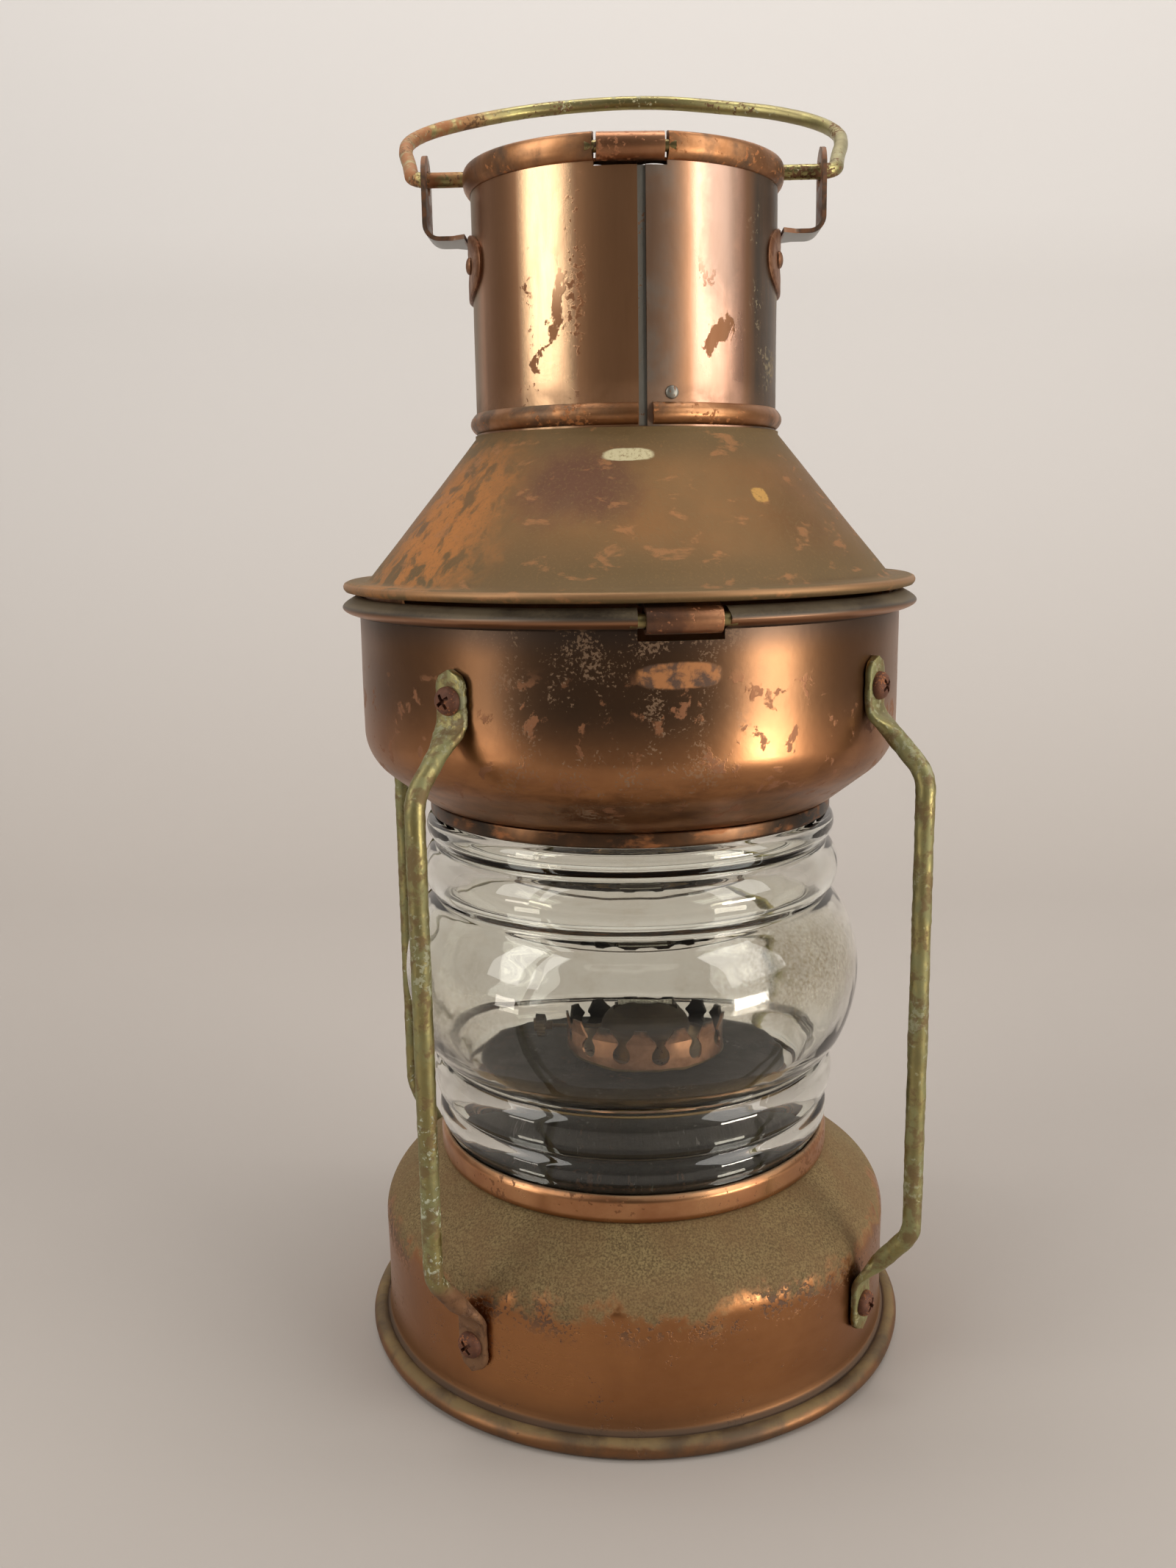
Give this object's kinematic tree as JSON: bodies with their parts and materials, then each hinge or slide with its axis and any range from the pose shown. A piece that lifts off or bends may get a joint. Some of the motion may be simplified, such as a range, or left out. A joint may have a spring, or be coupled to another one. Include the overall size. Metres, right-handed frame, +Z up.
{
  "type": "ship lantern",
  "caption": "Copper oil lantern with a pressed glass lens, guard rods, hinged conical lid and chimney, swinging bail handle and flat-wick burner.",
  "frame": {"origin": "on the lantern's vertical axis, in the plane it stands on", "axes": "+Z up; -Y towards the front, where the lid hinge and the chimney seam are; the bail's pivot runs along X"},
  "size_m": [0.1814, 0.1888, 0.4136],
  "materials": {
    "copper_base": "aged lacquered copper, worn bright at the shoulder",
    "copper_bowl": "aged copper, darkened nearly black with coppery wear",
    "copper_lid": "dusty oxidised copper",
    "copper_chimney": "streaked aged copper",
    "tinned_sheet": "dull tinned sheet",
    "brass_pins": "dull aged brass",
    "brass_rods": "aged brass with green and pale deposits",
    "brass_bail": "aged brass wire",
    "brass_burner": "heat-darkened brass",
    "sooty_steel": "sheet steel black with soot",
    "rusty_steel": "rusty steel",
    "worn_steel": "worn, rust-stained steel",
    "clear_glass": "clear pressed glass with dust",
    "cork_ring": "perished gasket",
    "wick_cotton": "woven cotton, charred at the tip"
  },
  "bodies": {
    "lantern": {"base_shell": "copper_base", "base_pan": "copper_base", "font_body": "sooty_steel", "font_top": "sooty_steel", "font_neck": "brass_pins", "burner_base": "brass_burner", "burner_crown": "brass_burner", "burner_dome": "brass_burner", "wick_tube": "brass_burner", "lens_seat": "copper_base", "lens_gasket_low": "cork_ring", "lens_gasket_up": "cork_ring", "lens": "clear_glass", "neck_collar": "copper_bowl", "bowl_shell": "copper_bowl", "hinge_pin": "brass_pins", "guard_rod_1": "brass_rods", "guard_rod_2": "brass_rods", "guard_rod_3": "brass_rods", "guard_rod_4": "brass_rods", "guard_screws": "rusty_steel", "guard_nuts": "rusty_steel", "catch_bracket": "brass_pins"},
    "lid": {"lid_cone": "copper_lid", "lid_skirt": "copper_lid", "lid_strap": "copper_lid", "chimney_shell": "copper_chimney", "chimney_sleeve": "tinned_sheet", "chimney_bead": "copper_chimney", "chimney_rim": "copper_chimney", "cap_pin": "brass_pins", "ear_left": "worn_steel", "ear_right": "worn_steel", "ear_rivets": "worn_steel", "seam_rivet": "worn_steel"},
    "bail": {"bail": "brass_bail"},
    "cap": {"chimney_cap": "copper_chimney", "cap_strap": "copper_chimney"},
    "wick_key": {"wick_shaft": "brass_burner", "wick_knob": "brass_burner"},
    "wick": {"wick": "wick_cotton"},
    "catch": {"lid_catch": "brass_pins"}
  },
  "joints": [
    {"name": "lid_hinge", "type": "hinge", "parent": "lantern", "child": "lid", "pos_m": [0.01452, -0.08497, 0.2436], "axis": [0.9857, 0.1685, 0], "range_deg": [0, 105]},
    {"name": "cap_hinge", "type": "hinge", "parent": "lid", "child": "cap", "pos_m": [0.00199, -0.04556, 0.3687], "axis": [0.999, 0.0436, 0], "range_deg": [0, 100]},
    {"name": "bail_pivot", "type": "hinge", "parent": "lid", "child": "bail", "pos_m": [0, 0, 0.371], "axis": [1, 0, 0], "range_deg": [-78, 202]},
    {"name": "wick_turn", "type": "hinge", "parent": "lantern", "child": "wick_key", "pos_m": [0.0045, 0.0047, 0.0984], "axis": [-1, 0, 0], "range_deg": [-60, 90]},
    {"name": "wick_slide", "type": "slide", "parent": "lantern", "child": "wick", "axis": [0, 0, 1], "range_m": [-0.0035, 0.0053]},
    {"name": "catch_swing", "type": "hinge", "parent": "lantern", "child": "catch", "pos_m": [-0.01543, 0.09029, 0.2305], "axis": [0.9857, 0.1685, 0], "range_deg": [0, 183]}
  ],
  "couplings": [
    {"joint": "wick_turn", "follows": "wick_slide", "rad_per_m": 294.12}
  ]
}
